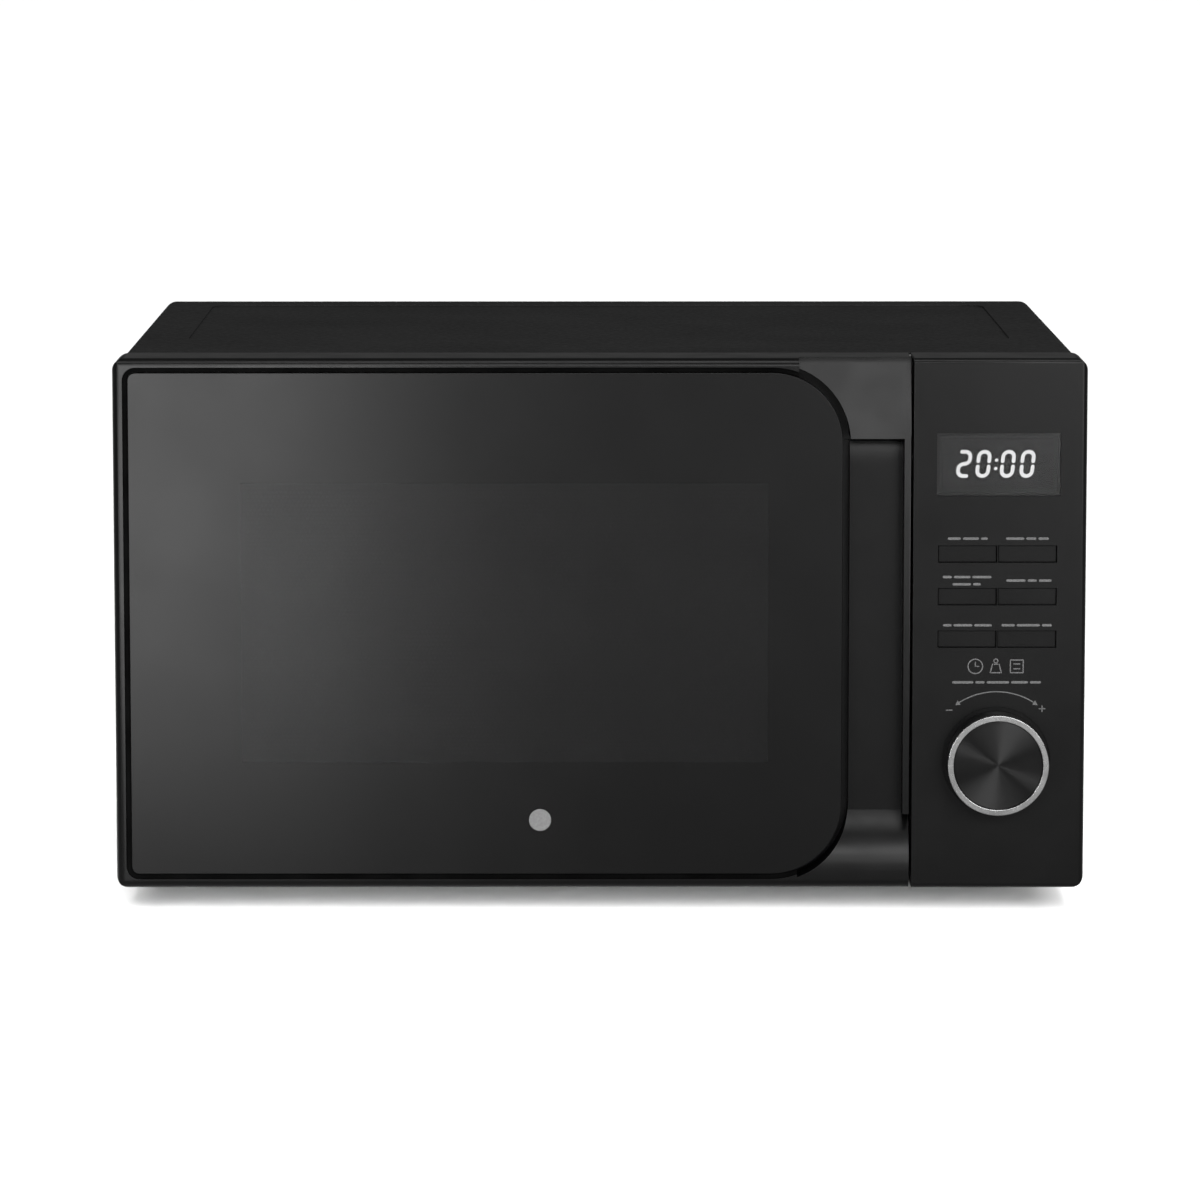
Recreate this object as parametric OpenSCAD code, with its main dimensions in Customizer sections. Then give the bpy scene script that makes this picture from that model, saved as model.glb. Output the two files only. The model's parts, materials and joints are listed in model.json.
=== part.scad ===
// Countertop microwave oven: steel body, side-hinged glass door, finger pocket, keys and dial.
// Frame: +X to the right seen from the front, +Y to the back, +Z up, origin on the resting
// surface under the middle of the overall box. Millimetres.

/* [Body] */
// Width over the front
body_w = 440; // [436:2:470]
// Height, standing on the feet
body_h = 256; // [252:2:280]
// Depth from the front plate to the back edge of the casing
casing_d = 297; // [290:1:330]
// Height of the feet
foot_h = 14; // [10:1:16]
// Sheet steel of the outer casing
casing_t = 0.8; // [0.7:0.1:1.2]

/* [Door] */
// Thickness of the door and of the control panel
door_t = 30; // [28:1:34]
// Thickness of the door glass
glass_t = 4; // [3:0.5:5]
// Depth of the finger pocket
pocket_d = 12; // [10:1:13]
// Radius of the glass corners beside the pocket
glass_corner_r = 32; // [24:1:36]
// Width of the gap between the glass edge and the pocket
glass_gap = 3.6; // [3:0.2:4.4]

/* [Control panel] */
// Width of the control panel
panel_w = 78.5; // [76:0.5:84]
// Diameter of the dial
dial_d = 45.7; // [40:0.1:48]
// How far the dial stands out of the panel
dial_out = 17; // [12:1:20]
// Height of one key
key_h = 7.3; // [6:0.1:9]
// Distance between two rows of keys
key_pitch = 19.4; // [16:0.1:20]
// How far a key travels
key_travel = 0.8; // [0.5:0.1:1]

/* [Oven cavity] */
// Inside width of the oven cavity
cavity_w = 306; // [300:1:308]
// Inside height of the oven cavity
cavity_h = 204; // [196:1:204]
// Inside depth of the oven cavity
cavity_d = 290; // [280:1:290]

/* [Turntable] */
// Diameter of the glass tray
tray_d = 255; // [245:1:260]
// Diameter of one roller
roller_d = 15; // [13:0.5:16]
// Radius of the circle that the rollers run on
roller_track_r = 97.5; // [90:0.5:100]

/* [Hidden] */
$fn = 96;
sheet = 0.8;                                // sheet steel inside the body
wall = 2.5;                                 // moulded plastic wall
slack = 0.3;                                // gap that moving faces keep
run = 0.05;                                 // radial clearance of a turning shaft
past = 1;                                   // how far a cutter runs past the face it cuts

left = -body_w / 2;
right = body_w / 2;
low = foot_h;                               // underside of the front
high = body_h;
depth = dial_out + door_t + casing_d;
back = depth / 2;
plate_y = back - casing_d;                  // front face of the front plate
front = plate_y - door_t;                   // plane of the glass and of the control panel
dial_y = front - dial_out;                  // foremost point

// Casing
casing_x = body_w / 2 - 2;
casing_low = low + 2;
casing_r = 6;
casing_y0 = plate_y + 1;
casing_lip = 12;
floor_z = casing_low + casing_t;            // top of the casing's bottom lips
base_t = 1;
base_top = floor_z + base_t;
inner_x = casing_x - casing_t - 0.2;        // half width left inside the casing
inner_top = high - casing_t - 0.2;
field_d = 0.8;                              // depth of the pressed field in the top
field_low = [26 - casing_x, plate_y + 66];
field_high = [casing_x - 26, back - 20];
field_r = 14;

// Cavity and front plate
cavity_x0 = left + 24;
cavity_x1 = cavity_x0 + cavity_w;
cavity_z0 = low + 26;
cavity_z1 = cavity_z0 + cavity_h;
cavity_y1 = plate_y + sheet + cavity_d;
plate_back = plate_y + sheet;
turn_x = (cavity_x0 + cavity_x1) / 2;       // turntable axis
turn_y = plate_back + cavity_d / 2;
shaft_hole_r = 5;
wave_inlet = [turn_y, cavity_z1 - 82];      // low corner of the microwave inlet, as y and z
wave_inlet_size = [60, 54];

// Door
door_right = right - panel_w - 1;
door_back = plate_y - 1;
panel_edge_r = 2.5;                         // rounding of the front edges
door_edge_r = 4;
back_edge_r = 5;
front_corner_r = 6;
rim = 7;                                    // frame left visible round the glass
glass_x0 = left + rim;
glass_x1 = door_right - 30.8;
glass_z0 = low + 6.6;
glass_z1 = high - 6.6;
glass_back = front + glass_t;
small_corner_r = 3.5;
pocket_x0 = glass_x1 - 20;                  // where the space behind the glass edge begins
pocket_x1 = door_right - 3;
pocket_y = front + pocket_d;                // floor of the pocket
under_y = pocket_y + 6;                     // floor of the space behind the glass edge
lip_z = high - 36.5;                        // lower edge of the sloping lip
lip_top = high - 3;
lip_slope = 7;                              // how far the slope leans back
slot_z = lip_z - 2.2;                       // underside of the slot below the lip
slot_y = pocket_y + 7;
ramp_z = slot_z - 10.5;                     // lower end of the ramp under the slot
ramp_y = pocket_y + lip_slope * (slot_z - ramp_z) / (lip_top - lip_z);
roll_r = 39.6;                              // rounding at the lower end of the pocket
roll_z = low + 6;
roll_top = roll_z + sqrt(roll_r * roll_r - pow(roll_r - pocket_d, 2));
window_x = [left + 57.3, left + 296.2];     // printed window, left and right
window_z = [low + 57.7, low + 185.4];
screen_y = under_y + 3;
choke_y = door_back - 3;
inner_window_y = choke_y - 2;
groove_w = 2.4;                             // groove in the frame round the glass
groove_d = 2;

// Hinge
hinge_x = left + 7;
hinge_y = plate_y - 10.5;
pin_r = 2.5;
tab_t = 2;
tab_z = [low + 10, high - 12];              // underside of each bracket tab
tab_room = 1.2;                             // free height above and below a tab
choke_x = [hinge_x + 10, cavity_x1 + 8];    // the screen's flange, which the choke cover hides
choke_z = [cavity_z0 - 9, cavity_z1 + 5.5];

// Latch
latch_x = door_right - 9.5;                 // middle of the hooks
hook_z = [low + 42, high - 62];             // underside of each hook
hook_h = 11;
latch_lift = 3;
catch_slot_x = [latch_x - 5, latch_x + 5];
bracket_x = latch_x + 15;                   // plate that carries the interlock switches
switch_size = [10.3, 27.8, 15.9];

// Control panel
panel_x = right - panel_w;
control_x = panel_x + 38.3;                 // middle line of display, keys and dial
display_size = [56, 28.5];
display_low = [panel_x + 10.5, high - 62.5];
keys_w = 53.2;
key_gap = 1;
key_w = (keys_w - key_gap) / 2;
key_top_z = high - 88.9;                    // middle of the upper row
key_sink = 1.8;
dial_z = low + 58.9;
dial_r = dial_d / 2;
ring_w = 2.7;
dial_shaft_r = 3;
board_y = front + 10;                       // front face of the control board
board_t = 1.6;

// Running gear
roller_r = roller_d / 2;
roller_z = cavity_z0 + slack + roller_r;
roller_w = 7;
roller_pin_r = 2;
tray_z = roller_z + roller_r + slack;       // underside of the tray
tray_t = 5;
tray_rim = 9.5;
ring_in = 78;
ring_out = 92;
ring_h = 7;
coupler_r = 16;
coupler_lobe = 4.4;
lug_turn = 60;                              // the tray's lugs stand between the lobes
motor_r = 25;
motor_z = base_top + 2;
motor_h = 14;

// Machine compartment, right of the cavity
bay_x0 = cavity_x1 + sheet;
bay_x1 = inner_x;
wave_d = 28;                                // depth of the waveguide
magnetron_x = bay_x0 + wave_d;
magnetron_y = turn_y - 11;
magnetron_z = wave_inlet[1] + 27;
yoke = [54, 80, 82];
fin_count = 6;
fan_x = (bay_x0 + bay_x1) / 2;
fan_y = back - 44;                          // front face of the fan shroud
fan_z = high - 88;
fan_r = 45.5;
fan_shaft_r = 1.5;
fan_blades = 5;
core_low = [bay_x0 + 14, turn_y - 36, base_top];
core_size = [84, 75, 65];
capacitor_low = [bay_x0 + 9, core_low[1] + core_size[1] + 18, base_top + 2];
capacitor_size = [85, 46, 32];
filter_board_low = [bay_x0 + 36, plate_y + 26, base_top + 8];
lamp_at = [bay_x0 + 14, plate_y + 52, cavity_z1 - 29];
gland_x = right - 30;
gland_z = low + 30;
gland_r = 3.6;                              // hole for the mains lead
screw_r = 1.6;
screw_x = [-casing_x + 12, -60, 60, casing_x - 12];
screw_z = [low + 12, high - 6.5];
foot_r = 12;
foot_stem_r = 4;
foot_x = body_w / 2 - 42;
foot_y = [front + 93, back - 40];

// ---- Helpers ----

// Box between two opposite corners
module block(corner, far) {
    translate(corner) cube(far - corner);
}

// Extrusion of an outline drawn in x and z
module along_y(y0, y1) {
    translate([0, y1, 0]) rotate([90, 0, 0]) linear_extrude(y1 - y0) children();
}

// Extrusion of an outline drawn in y and z
module along_x(x0, x1) {
    translate([x0, 0, 0]) rotate([90, 0, 90]) linear_extrude(x1 - x0) children();
}

// Extrusion of an outline drawn in x and y
module along_z(z0, z1) {
    translate([0, 0, z0]) linear_extrude(z1 - z0) children();
}

module rod_x(y, z, x0, x1, r) {
    translate([x0, y, z]) rotate([0, 90, 0]) cylinder(h = x1 - x0, r = r);
}

module rod_y(x, z, y0, y1, r) {
    translate([x, y1, z]) rotate([90, 0, 0]) cylinder(h = y1 - y0, r = r);
}

module rod_z(x, y, z0, z1, r) {
    translate([x, y, z0]) cylinder(h = z1 - z0, r = r);
}

// Rectangle whose corners have the radii lower left, lower right, upper right, upper left
module round_rect(corner, far, radii) {
    size = far - corner;
    places = [[0, 0], [size[0], 0], size, [0, size[1]]];
    inward = [[1, 1], [-1, 1], [-1, -1], [1, -1]];
    difference() {
        translate(corner) square(size);
        for (i = [0 : 3]) if (radii[i] > 0)
            translate(corner + places[i]) mirror([1 - inward[i][0], 0]) mirror([0, 1 - inward[i][1]])
                corner_waste(radii[i]);
    }
}

// What a rounded corner loses, drawn at a lower left corner
module corner_waste(r) {
    difference() {
        translate([-past, -past]) square(r + past);
        translate([r, r]) circle(r);
    }
}

// Slots cut in a row, each drawn by the child, one pitch apart
module repeat(count, pitch) {
    for (i = [0 : count - 1]) translate(i * pitch) children();
}

// ---- Casing ----

module outer_casing() {
    color([0.07, 0.07, 0.08]) {
        difference() {
            along_y(casing_y0, back) difference() {
                casing_outline(0);
                casing_outline(casing_t);
                translate([casing_lip - casing_x, casing_low - past])
                    square([2 * (casing_x - casing_lip), casing_t + 2 * past]);
            }
            along_z(high - field_d, high + past) field_outline(0);
            side_vents();
        }
        along_z(high - casing_t - field_d, high - field_d) field_outline(2);
    }
}

module casing_outline(inset) {
    r = casing_r - inset;
    round_rect([inset - casing_x, casing_low + inset], [casing_x - inset, high - inset], [0, 0, r, r]);
}

module field_outline(grow) {
    r = field_r + grow;
    round_rect(field_low - [grow, grow], field_high + [grow, grow], [r, r, r, r]);
}

// Intake slots in the right side, near the back
module side_vents() {
    for (row = [0, 1]) repeat(8, [0, 9, 0])
        block([casing_x - casing_t - past, back - 100, low + 40 + 36 * row],
            [casing_x + past, back - 96, low + 68 + 36 * row]);
}

module back_panel() {
    color([0.6, 0.61, 0.62]) difference() {
        along_y(back - 2, back - 1)
            round_rect([-inner_x, base_top], [inner_x, inner_top - field_d], [1, 1, 5, 5]);
        repeat(9, [0, 0, 9])
            block([fan_x - 38, back - 2 - past, fan_z - 38], [fan_x + 38, back - 1 + past, fan_z - 34]);
        repeat(6, [0, 0, 9])
            block([left + 60, back - 2 - past, high - 90], [left + 130, back - 1 + past, high - 86]);
        rod_y(gland_x, gland_z, back - 2 - past, back - 1 + past, gland_r + 2.4);
        each_screw() rod_y(0, 0, back - 2 - past, back - 1 + past, screw_r);
    }
}

module each_screw() {
    for (x = screw_x, z = screw_z) translate([x, 0, z]) children();
}

module casing_screws() {
    color([0.7, 0.7, 0.72]) each_screw() {
        rod_y(0, 0, back - 7, back - 1, screw_r);
        rod_y(0, 0, back - 1, back - 0.1, 2.4);
    }
}

module base_plate() {
    color([0.62, 0.63, 0.64]) difference() {
        block([-inner_x, plate_back + 0.1, floor_z], [inner_x, back - 2.1, base_top]);
        each_foot() rod_z(0, 0, floor_z - past, base_top + past, foot_stem_r);
        repeat(7, [10, 0, 0])
            block([bay_x0 + 20, turn_y + 60, floor_z - past], [bay_x0 + 24, turn_y + 100, base_top + past]);
    }
}

module each_foot() {
    for (x = [-foot_x, foot_x], y = foot_y) translate([x, y, 0]) children();
}

module feet() {
    color([0.05, 0.05, 0.05]) each_foot() rotate_extrude()
        polygon([[0, 0], [foot_r - 1.5, 0], [foot_r, 1.5], [foot_r, floor_z],
            [foot_stem_r, floor_z], [foot_stem_r, base_top], [0, base_top]]);
}

module front_plate() {
    color([0.66, 0.67, 0.68]) difference() {
        along_y(plate_y, plate_back)
            round_rect([-inner_x, floor_z], [inner_x, inner_top], [1, 1, 5, 5]);
        along_y(plate_y - past, plate_back + past)
            round_rect([cavity_x0, cavity_z0], [cavity_x1, cavity_z1], [4, 4, 4, 4]);
        for (z = hook_z)
            block([catch_slot_x[0], plate_y - past, z - 2],
                [catch_slot_x[1], plate_back + past, z + hook_h + latch_lift + 2]);
        block([panel_x + 12, plate_y - past, low + 70], [panel_x + 32, plate_back + past, low + 90]);
        hinge_tabs();
    }
}

// ---- Oven cavity ----

module cavity_floor() {
    color([0.55, 0.56, 0.57]) difference() {
        block([cavity_x0, plate_back, cavity_z0 - sheet], [cavity_x1, cavity_y1, cavity_z0]);
        rod_z(turn_x, turn_y, cavity_z0 - sheet - past, cavity_z0 + past, shaft_hole_r);
    }
}

module cavity_wrap() {
    inlet_far = wave_inlet + wave_inlet_size;
    color([0.55, 0.56, 0.57]) difference() {
        block([cavity_x0 - sheet, plate_back, cavity_z0 - sheet],
            [cavity_x1 + sheet, cavity_y1, cavity_z1 + sheet]);
        block([cavity_x0, plate_back - past, cavity_z0 - sheet - past],
            [cavity_x1, cavity_y1 + past, cavity_z1]);
        block([cavity_x1 - past, wave_inlet[0], wave_inlet[1]],
            [cavity_x1 + sheet + past, inlet_far[0], inlet_far[1]]);
        cavity_vents();
    }
}

// Air slots: into the cavity by the lamp, and out of it high on the left
module cavity_vents() {
    repeat(6, [0, 7, 0])
        block([cavity_x1 - past, plate_y + 30, cavity_z1 - 42],
            [cavity_x1 + sheet + past, plate_y + 33, cavity_z1 - 16]);
    repeat(6, [0, 7, 0])
        block([cavity_x0 - sheet - past, cavity_y1 - 60, cavity_z1 - 42],
            [cavity_x0 + past, cavity_y1 - 57, cavity_z1 - 16]);
}

module cavity_back() {
    color([0.55, 0.56, 0.57]) block([cavity_x0 - sheet, cavity_y1, cavity_z0 - sheet],
        [cavity_x1 + sheet, cavity_y1 + sheet, cavity_z1 + sheet]);
}

module waveguide() {
    far = [wave_inlet[0] + wave_inlet_size[0], wave_inlet[1] + wave_inlet_size[1]];
    color([0.7, 0.71, 0.72]) difference() {
        block([bay_x0, magnetron_y - 20, wave_inlet[1] - 6], [magnetron_x, far[0] + 6, far[1] + 6]);
        block([bay_x0 - past, magnetron_y - 20 + sheet, wave_inlet[1] - 6 + sheet],
            [magnetron_x - sheet, far[0] + 6 - sheet, far[1] + 6 - sheet]);
        rod_x(magnetron_y, magnetron_z, magnetron_x - 2 * past, magnetron_x + past, 12);
    }
}

module waveguide_cover() {
    grow = 7;
    color([0.75, 0.7, 0.6]) block([cavity_x1 - 0.6, wave_inlet[0] - grow, wave_inlet[1] - grow],
        [cavity_x1, wave_inlet[0] + wave_inlet_size[0] + grow, wave_inlet[1] + wave_inlet_size[1] + grow]);
}

// ---- Microwave generator ----

module magnetron_body() {
    corner = [magnetron_x, magnetron_y - yoke[1] / 2, magnetron_z - yoke[2] / 2];
    t = 2;
    color([0.68, 0.69, 0.7]) difference() {
        block(corner, corner + yoke);
        block(corner + [t, -past, t], corner + yoke + [-t, past, -t]);
        rod_x(magnetron_y, magnetron_z, magnetron_x - past, magnetron_x + t + past, 9);
    }
}

module magnetron_core() {
    fin_gap = (yoke[0] - 4) / (fin_count + 1);
    color([0.75, 0.45, 0.3]) {
        rod_x(magnetron_y, magnetron_z, magnetron_x - 16, magnetron_x + 3, 8);
        rod_x(magnetron_y, magnetron_z, magnetron_x + 2, magnetron_x + yoke[0] - 2, 19);
        for (i = [1 : fin_count]) translate([magnetron_x + 2 + i * fin_gap, 0, 0])
            block([-0.5, magnetron_y - yoke[1] / 2 + 3, magnetron_z - yoke[2] / 2 + 2],
                [0.5, magnetron_y + yoke[1] / 2 - 3, magnetron_z + yoke[2] / 2 - 2]);
    }
}

module magnetron_filter_box() {
    box_x = magnetron_x + yoke[0];
    color([0.72, 0.73, 0.74]) {
        block([box_x, magnetron_y - 28, magnetron_z - 32], [bay_x1 - 3, magnetron_y + 28, magnetron_z + 32]);
        for (y = [-6, 6]) block([box_x + 8, magnetron_y + y - 3, magnetron_z - 44],
            [box_x + 8.8, magnetron_y + y + 3, magnetron_z - 32]);
    }
}

module core_windows(grow) {
    leg = 14;
    for (x = [leg, core_size[0] - 2 * leg]) translate(core_low + [x - grow, -past, 12 - grow])
        cube([leg + 2 * grow, core_size[1] + 2 * past, core_size[2] - 24 + 2 * grow]);
}

module transformer_core() {
    color([0.3, 0.3, 0.32]) difference() {
        block(core_low, core_low + core_size);
        core_windows(0);
    }
}

// One winding round the middle leg, out through both windows
module transformer_windings() {
    swell = 12;
    near = core_low + [14, -swell, 12];
    far = core_low + [core_size[0] - 14, core_size[1] + swell, core_size[2] - 12];
    leg_near = core_low + [28, 0, 0];
    leg_far = core_low + core_size - [28, 0, 0];
    color([0.62, 0.3, 0.16]) difference() {
        along_z(near[2], far[2]) round_rect([near[0], near[1]], [far[0], far[1]], [11, 11, 11, 11]);
        block(leg_near, leg_far);
    }
}

module capacitor() {
    r = capacitor_size[2] / 2;
    color([0.75, 0.76, 0.77]) {
        along_x(capacitor_low[0], capacitor_low[0] + capacitor_size[0])
            round_rect([capacitor_low[1], capacitor_low[2]],
                [capacitor_low[1] + capacitor_size[1], capacitor_low[2] + capacitor_size[2]],
                [r - 0.1, r - 0.1, r - 0.1, r - 0.1]);
        block([capacitor_low[0] + 30, capacitor_low[1] + 14, base_top],
            [capacitor_low[0] + 50, capacitor_low[1] + 32, base_top + 3]);
        for (y = [16, 30]) translate([capacitor_low[0] - 7, capacitor_low[1] + y, capacitor_low[2] + r - 3])
            cube([8, 0.8, 6]);
    }
}

module high_voltage_diode() {
    z = capacitor_low[2] + capacitor_size[2];
    y = capacitor_low[1] + capacitor_size[1] / 2;
    color([0.1, 0.1, 0.1]) {
        rod_x(y, z + 3.5, capacitor_low[0] + 4, capacitor_low[0] + 26, 3.5);
        rod_x(y, z + 3.5, capacitor_low[0] - 4, capacitor_low[0] + 36, 0.6);
    }
}

// ---- Cooling ----

module fan_motor() {
    depth_y = 14;
    y1 = fan_y - 8;
    color([0.4, 0.4, 0.42]) difference() {
        union() {
            block([fan_x - 14, y1 - depth_y, fan_z - 34], [fan_x + 14, y1, fan_z + 14]);
            rod_y(fan_x, fan_z, y1 - depth_y - 6, y1 + 3, 8);
            block([fan_x - 51.5, y1 - 2, fan_z - 3], [fan_x + 51.5, y1, fan_z + 3]);
            for (side = [-1, 1]) translate([fan_x + side * 50, 0, fan_z])
                block([-1.5, y1 - 2, -3], [1.5, fan_y, 3]);
        }
        rod_y(fan_x, fan_z, y1 - depth_y - 6 - past, y1 + 3 + past, fan_shaft_r + run);
        block([fan_x - 8, y1 - depth_y - past, fan_z - 28], [fan_x + 8, y1 + past, fan_z - 14]);
    }
}

module fan_shroud() {
    color([0.1, 0.1, 0.11]) difference() {
        union() {
            block([bay_x0 + 1, fan_y, base_top], [bay_x1 - 1, fan_y + 2, high - 26]);
            rod_y(fan_x, fan_z, fan_y, fan_y + 18, fan_r + 4.5);
        }
        rod_y(fan_x, fan_z, fan_y - past, fan_y + 18 + past, fan_r + 2.5);
    }
}

module fan_blade() {
    y0 = fan_y + 4;
    blade_h = 10;
    color([0.85, 0.86, 0.87]) {
        rod_y(fan_x, fan_z, y0 - 1, y0 + blade_h + 3, 9);
        rod_y(fan_x, fan_z, fan_y - 26, y0, fan_shaft_r);
        intersection() {
            rod_y(fan_x, fan_z, y0, y0 + blade_h, fan_r);
            for (i = [0 : fan_blades - 1])
                translate([fan_x, y0 + blade_h / 2, fan_z]) rotate([0, i * 360 / fan_blades, 0])
                    rotate([28, 0, 0]) translate([6, -0.8, -14]) cube([fan_r, 1.6, 28]);
        }
    }
}

// ---- Turntable ----

module turntable_motor() {
    color([0.7, 0.7, 0.68]) difference() {
        union() {
            rod_z(turn_x, turn_y, motor_z, motor_z + motor_h, motor_r);
            block([turn_x - 34, turn_y - 7, motor_z + motor_h - 1],
                [turn_x + 34, turn_y + 7, motor_z + motor_h]);
            for (side = [-1, 1])
                rod_z(turn_x + side * 30, turn_y, motor_z + motor_h, cavity_z0 - sheet, 3);
        }
        rod_z(turn_x, turn_y, motor_z + 2, motor_z + motor_h + past, dial_shaft_r + run);
    }
}

module turntable_coupler() {
    hub_top = tray_z - 1 - coupler_lobe;
    color([0.9, 0.9, 0.88]) translate([turn_x, turn_y, 0]) {
        rod_z(0, 0, motor_z + 4, hub_top, dial_shaft_r);
        rod_z(0, 0, cavity_z0 + 1.5, hub_top, coupler_r);
        rod_z(0, 0, hub_top - 1, hub_top + coupler_lobe, 7);
        for (i = [0 : 2]) rotate([0, 0, 120 * i])
            block([5, -4, hub_top - 1], [coupler_r - 1, 4, hub_top + coupler_lobe - 0.5]);
    }
}

module glass_tray() {
    r = tray_d / 2;
    lug_z = tray_z - coupler_lobe + 0.5;
    color([0.75, 0.82, 0.84, 0.5]) translate([turn_x, turn_y, 0]) {
        rotate_extrude() polygon([[0, tray_z], [r - 16, tray_z], [r - 4, tray_z + 5],
            [r, tray_z + tray_rim], [r, tray_z + tray_rim + 3], [r - 3, tray_z + tray_rim + 3],
            [r - 7, tray_z + tray_rim], [r - 18, tray_z + tray_t], [0, tray_z + tray_t]]);
        for (i = [0 : 2]) rotate([0, 0, 120 * i + lug_turn])
            block([9, -3.5, lug_z], [15, 3.5, tray_z + 1]);
    }
}

module roller_ring() {
    color([0.88, 0.88, 0.86]) translate([turn_x, turn_y, 0]) {
        z0 = roller_z - ring_h / 2;
        difference() {
            rod_z(0, 0, z0, z0 + ring_h, ring_out);
            rod_z(0, 0, z0 - past, z0 + ring_h + past, ring_in);
        }
        for (i = [0 : 2]) rotate([0, 0, 120 * i])
            rod_x(0, roller_z, ring_out - 2, roller_track_r + roller_w / 2 + 1.5, roller_pin_r);
    }
}

module roller(turn) {
    half = roller_w / 2;
    color([0.92, 0.92, 0.9]) translate([turn_x, turn_y, 0]) rotate([0, 0, turn]) difference() {
        rod_x(0, roller_z, roller_track_r - half, roller_track_r + half, roller_r);
        rod_x(0, roller_z, roller_track_r - half - past, roller_track_r + half + past, roller_pin_r + run);
    }
}

// ---- Lamp and electrics ----

module lamp_holder() {
    color([0.85, 0.85, 0.82]) {
        block([bay_x0, lamp_at[1] + 14, lamp_at[2] - 14], [bay_x0 + 28, lamp_at[1] + 16, lamp_at[2] + 14]);
        rod_y(lamp_at[0], lamp_at[2], lamp_at[1] + 8, lamp_at[1] + 30, 10);
    }
}

module lamp_bulb() {
    color([0.95, 0.9, 0.7, 0.7]) {
        rod_y(lamp_at[0], lamp_at[2], lamp_at[1] - 12, lamp_at[1] + 4, 9);
        rod_y(lamp_at[0], lamp_at[2], lamp_at[1] + 4, lamp_at[1] + 8, 6.5);
    }
}

module noise_filter_board() {
    at = filter_board_low;
    size = [62, 56];
    color([0.75, 0.62, 0.35]) {
        block(at, at + [size[0], size[1], 1.6]);
        for (x = [5, size[0] - 5], y = [5, size[1] - 5])
            rod_z(at[0] + x, at[1] + y, base_top, at[2] + 0.5, 3);
        block(at + [8, 10, 1.5], at + [34, 28, 17]);
        rod_z(at[0] + 47, at[1] + 20, at[2] + 1, at[2] + 13, 10);
        block(at + [10, 36, 1.5], at + [14, 42, 8]);
        block(at + [36, 36, 1.5], at + [40, 42, 8]);
    }
}

module mains_fuse() {
    at = filter_board_low;
    color([0.9, 0.9, 0.8, 0.6]) rod_x(at[1] + 39, at[2] + 11, at[0] + 9, at[0] + 41, 3);
}

module thermal_cutouts() {
    color([0.15, 0.15, 0.15]) {
        rod_z(turn_x, turn_y + 40, cavity_z1 + sheet, cavity_z1 + sheet + 6, 8);
        rod_z(magnetron_x + yoke[0] / 2, magnetron_y, magnetron_z + yoke[2] / 2,
            magnetron_z + yoke[2] / 2 + 6, 8);
    }
}

module interlock_bracket() {
    z0 = hook_z[0] - 14;
    z1 = hook_z[1] + 34;
    color([0.85, 0.85, 0.86]) {
        block([bracket_x, plate_back, z0], [bracket_x + 2, plate_back + 36, z1]);
        block([latch_x + 6.5, plate_back, z1 - 3], [bracket_x + 1, plate_back + 36, z1]);
        block([latch_x + 6.5, plate_back, z0], [bracket_x + 1, plate_back + 36, z0 + 3]);
    }
}

module interlock_switches() {
    color([0.12, 0.12, 0.14]) for (z = [hook_z[0] - 8, hook_z[0] + 14, hook_z[1]])
        block([bracket_x - switch_size[0], plate_back + 4, z],
            [bracket_x, plate_back + 4 + switch_size[1], z + switch_size[2]]);
}

module cord_gland() {
    color([0.06, 0.06, 0.06]) difference() {
        union() {
            rod_y(gland_x, gland_z, back - 12, back, gland_r + 2.4);
            rod_y(gland_x, gland_z, back - 1, back, gland_r + 5);
        }
        rod_y(gland_x, gland_z, back - 12 - past, back + past, gland_r);
    }
}

// ---- Control panel ----

// Solid with rounded front edges; side_r rounds its upright edges as seen from above
module front_solid(x0, x1, y1, corner_r, edge_r, side_r) {
    intersection() {
        along_y(front, y1) round_rect([x0, low], [x1, high], corner_r);
        along_x(x0 - past, x1 + past) round_rect([front, low], [y1, high], [edge_r, 0, 0, edge_r]);
        along_z(low - past, high + past) round_rect([x0, front], [x1, y1], side_r);
    }
}

function key_x(i) = control_x - keys_w / 2 + (i % 2) * (key_w + key_gap);
function key_z(i) = key_top_z - floor(i / 2) * key_pitch - key_h / 2;

module control_panel() {
    color([0.06, 0.06, 0.065]) {
        difference() {
            front_solid(panel_x, right, plate_y, [0.5, front_corner_r, front_corner_r, 0.5],
                panel_edge_r, [0.5, panel_edge_r, 0, 0]);
            block([panel_x + wall, front + wall, low + wall], [right - wall, plate_y + past, high - wall]);
            display_cut();
            for (i = [0 : 5]) block([key_x(i) - slack, front - past, key_z(i) - slack],
                [key_x(i) + key_w + slack, front + wall + past, key_z(i) + key_h + slack]);
            rod_y(control_x, dial_z, front - past, front + 1, dial_r + 1.6);
            rod_y(control_x, dial_z, front - past, front + wall + past, dial_shaft_r + 1);
        }
        for (x = [panel_x + 6, right - 6], z = [low + 16, high - 14])
            rod_y(x, z, front + wall - 0.5, board_y, 3);
    }
}

// Seat of the display window, with a ledge behind the window's edge
module display_cut() {
    size = [display_size[0], 2.1, display_size[1]];
    corner = [display_low[0], front, display_low[1]];
    block(corner - [0, past, 0], corner + size);
    block(corner + [1.5, 0, 1.5], corner + size + [-1.5, past, -1.5]);
}

module display_window() {
    corner = [display_low[0], front + 0.3, display_low[1]];
    color([0.02, 0.02, 0.02]) block(corner, corner + [display_size[0], 1.8, display_size[1]]);
}

module display_module() {
    color([0.2, 0.2, 0.2]) block([display_low[0] + 3, front + wall + 1, display_low[1] + 3],
        [display_low[0] + display_size[0] - 3, board_y, display_low[1] + display_size[1] - 3]);
}

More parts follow.
